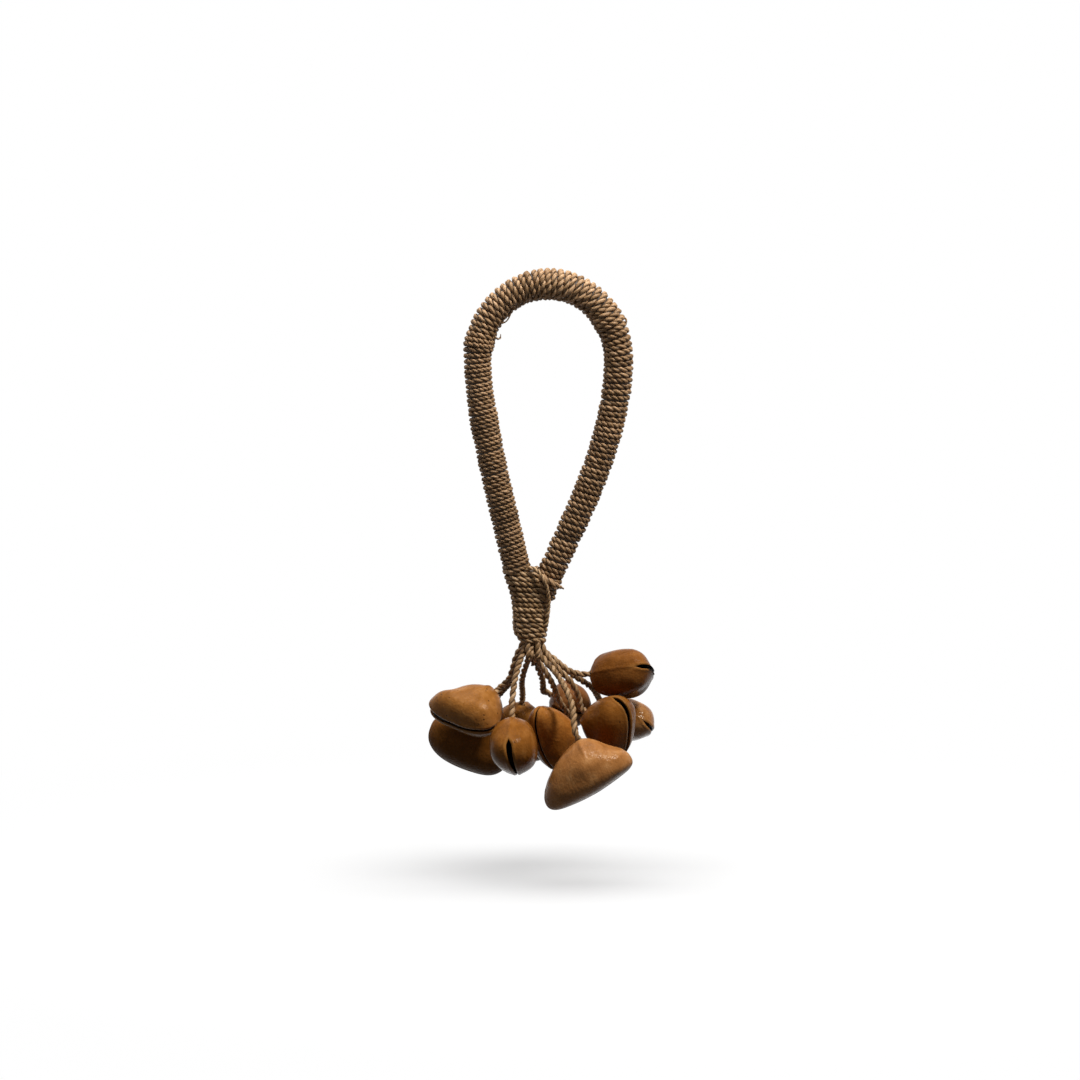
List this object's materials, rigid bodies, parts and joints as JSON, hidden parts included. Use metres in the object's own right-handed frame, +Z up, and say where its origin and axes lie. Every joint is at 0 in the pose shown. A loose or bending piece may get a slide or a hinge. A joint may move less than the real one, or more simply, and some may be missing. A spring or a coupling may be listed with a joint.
{
  "type": "nut shaker",
  "caption": "Hand rattle: a teardrop loop handle wound with plant-fibre cord, a bound neck, and hollow nut shells that hang on strings and knock together when shaken.",
  "frame": {"origin": "inside top of the loop handle, where a finger or a hook holds it", "axes": "+Z up along the hanging shaker, X across the loop, -Y towards the front"},
  "size_m": [0.1254, 0.102, 0.2905],
  "materials": {
    "cane": "bare split cane",
    "wrap_cord": "two-ply twisted plant fibre",
    "binding_cord": "two-ply twisted plant fibre",
    "string_cord": "two-ply twisted plant fibre",
    "nut_shell": "polished nut shell"
  },
  "bodies": {
    "handle": {"handle_core": "cane", "handle_wrap": "wrap_cord", "neck_binding": "binding_cord", "tie_strand": "binding_cord", "string_bundle": "string_cord"},
    "string_01": {"string_01": "string_cord"},
    "nut_01": {"shell_01": "nut_shell"},
    "string_02": {"string_02": "string_cord"},
    "nut_02": {"shell_02": "nut_shell"},
    "string_03": {"string_03": "string_cord"},
    "nut_03": {"shell_03": "nut_shell"},
    "string_04": {"string_04": "string_cord"},
    "nut_04": {"shell_04": "nut_shell"},
    "string_05": {"string_05": "string_cord"},
    "nut_05": {"shell_05": "nut_shell"},
    "string_06": {"string_06": "string_cord"},
    "nut_06": {"shell_06": "nut_shell"},
    "string_07": {"string_07": "string_cord"},
    "nut_07": {"shell_07": "nut_shell"},
    "string_08": {"string_08": "string_cord"},
    "nut_08": {"shell_08": "nut_shell"},
    "string_09": {"string_09": "string_cord"},
    "nut_09": {"shell_09": "nut_shell"},
    "string_10": {"string_10": "string_cord"},
    "nut_10": {"shell_10": "nut_shell"}
  },
  "joints": [
    {"name": "string_01_swing", "type": "hinge", "parent": "handle", "child": "string_01", "pos_m": [-0.01379, -0.00035, -0.192], "axis": [-0.0872, 0.9962, 0], "range_deg": [0, 35]},
    {"name": "nut_01_rock", "type": "hinge", "parent": "string_01", "child": "nut_01", "pos_m": [-0.0308, -0.0031, -0.21823], "axis": [-0.4861, 0.8739, 0], "range_deg": [0, 11]},
    {"name": "string_02_swing", "type": "hinge", "parent": "handle", "child": "string_02", "pos_m": [-0.01285, 0.00294, -0.192], "axis": [0.5, 0.866, 0], "range_deg": [0, 35]},
    {"name": "nut_02_rock", "type": "hinge", "parent": "string_02", "child": "nut_02", "pos_m": [-0.03095, 0.01595, -0.22789], "axis": [-0.0816, 0.9967, 0], "range_deg": [0, 12]},
    {"name": "string_03_swing", "type": "hinge", "parent": "handle", "child": "string_03", "pos_m": [-0.01215, -0.00372, -0.192], "axis": [-0.9925, 0.1219, 0], "range_deg": [0, 35]},
    {"name": "nut_03_rock", "type": "hinge", "parent": "string_03", "child": "nut_03", "pos_m": [-0.01945, -0.02445, -0.22889], "axis": [-0.9959, -0.0909, 0], "range_deg": [0, 12]},
    {"name": "string_04_swing", "type": "hinge", "parent": "handle", "child": "string_04", "pos_m": [-0.00994, 0.00146, -0.192], "axis": [0.9925, 0.1219, 0], "range_deg": [0, 20]},
    {"name": "nut_04_rock", "type": "hinge", "parent": "string_04", "child": "nut_04", "pos_m": [-0.0149, 0.02985, -0.22993], "axis": [0.9521, 0.3059, 0], "range_deg": [0, 11]},
    {"name": "string_05_swing", "type": "hinge", "parent": "handle", "child": "string_05", "pos_m": [-0.00906, -0.00499, -0.192], "axis": [-0.9945, -0.1045, 0], "range_deg": [0, 8]},
    {"name": "nut_05_rock", "type": "hinge", "parent": "string_05", "child": "nut_05", "pos_m": [0.00845, 0.00316, -0.23539], "axis": [-0.7962, 0.605, 0], "range_deg": [0, 8]},
    {"name": "string_06_swing", "type": "hinge", "parent": "handle", "child": "string_06", "pos_m": [-0.00941, 0.00496, -0.192], "axis": [1, 0, 0], "range_deg": [0, 30]},
    {"name": "nut_06_rock", "type": "hinge", "parent": "string_06", "child": "nut_06", "pos_m": [0.0053, 0.04066, -0.2272], "axis": [-0.826, -0.5637, 0], "range_deg": [0, 5]},
    {"name": "string_07_swing", "type": "hinge", "parent": "handle", "child": "string_07", "pos_m": [-0.00593, -0.0041, -0.192], "axis": [-0.8829, -0.4695, 0], "range_deg": [0, 35]},
    {"name": "nut_07_rock", "type": "hinge", "parent": "string_07", "child": "nut_07", "pos_m": [0.01742, -0.0361, -0.2389], "axis": [-0.3508, -0.9365, 0], "range_deg": [0, 12]},
    {"name": "string_08_swing", "type": "hinge", "parent": "handle", "child": "string_08", "pos_m": [-0.00402, -0.00146, -0.192], "axis": [-0.9848, -0.1736, 0], "range_deg": [0, 35]},
    {"name": "nut_08_rock", "type": "hinge", "parent": "string_08", "child": "nut_08", "pos_m": [0.02332, -0.00062, -0.2286], "axis": [-0.6993, -0.7148, 0], "range_deg": [0, 6]},
    {"name": "string_09_swing", "type": "hinge", "parent": "handle", "child": "string_09", "pos_m": [-0.00413, 0.00179, -0.192], "axis": [0.1736, -0.9848, 0], "range_deg": [0, 35]},
    {"name": "nut_09_rock", "type": "hinge", "parent": "string_09", "child": "nut_09", "pos_m": [0.0254, 0.004, -0.20728], "axis": [0, -1, 0], "range_deg": [0, 12]},
    {"name": "string_10_swing", "type": "hinge", "parent": "handle", "child": "string_10", "pos_m": [-0.00622, 0.00429, -0.192], "axis": [0.848, -0.5299, 0], "range_deg": [0, 35]},
    {"name": "nut_10_rock", "type": "hinge", "parent": "string_10", "child": "nut_10", "pos_m": [0.03534, 0.02695, -0.22954], "axis": [-0.0753, -0.9972, 0], "range_deg": [0, 12]}
  ]
}
